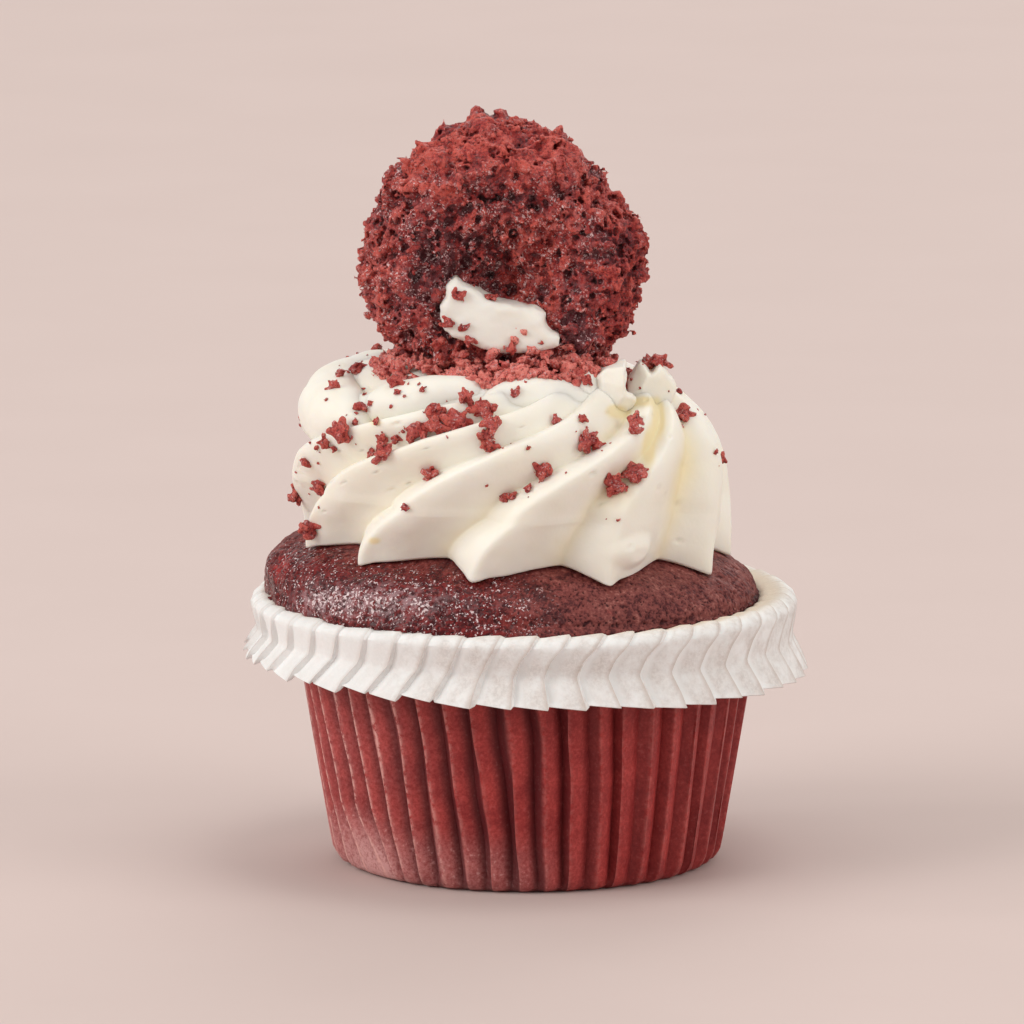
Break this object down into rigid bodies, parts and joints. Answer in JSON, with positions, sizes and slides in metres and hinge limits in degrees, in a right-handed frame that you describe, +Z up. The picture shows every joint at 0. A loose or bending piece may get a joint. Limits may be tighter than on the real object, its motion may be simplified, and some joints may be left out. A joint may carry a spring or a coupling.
{
  "type": "red velvet cupcake",
  "caption": "Domed red velvet cupcake in a pleated paper case with its rim folded down, with a swirl of cream frosting, loose crumbs and a torn ball of cake holding a dab of cream.",
  "frame": {"origin": "middle of the underside of the paper case's floor", "axes": "+Z up, -Y towards the torn face of the cake ball and its dab of cream, +X to the right seen from that side"},
  "size_m": [0.0762, 0.0762, 0.1017],
  "materials": {
    "paper_case": "matte",
    "cake_base": "satin",
    "frosting": "satin",
    "cake_top": "matte",
    "cream_dab": "satin"
  },
  "bodies": {
    "root": {"paper_case": "paper_case", "cake_base": "cake_base", "frosting": "frosting", "cake_top": "cake_top", "cream_dab": "cream_dab"}
  },
  "joints": []
}
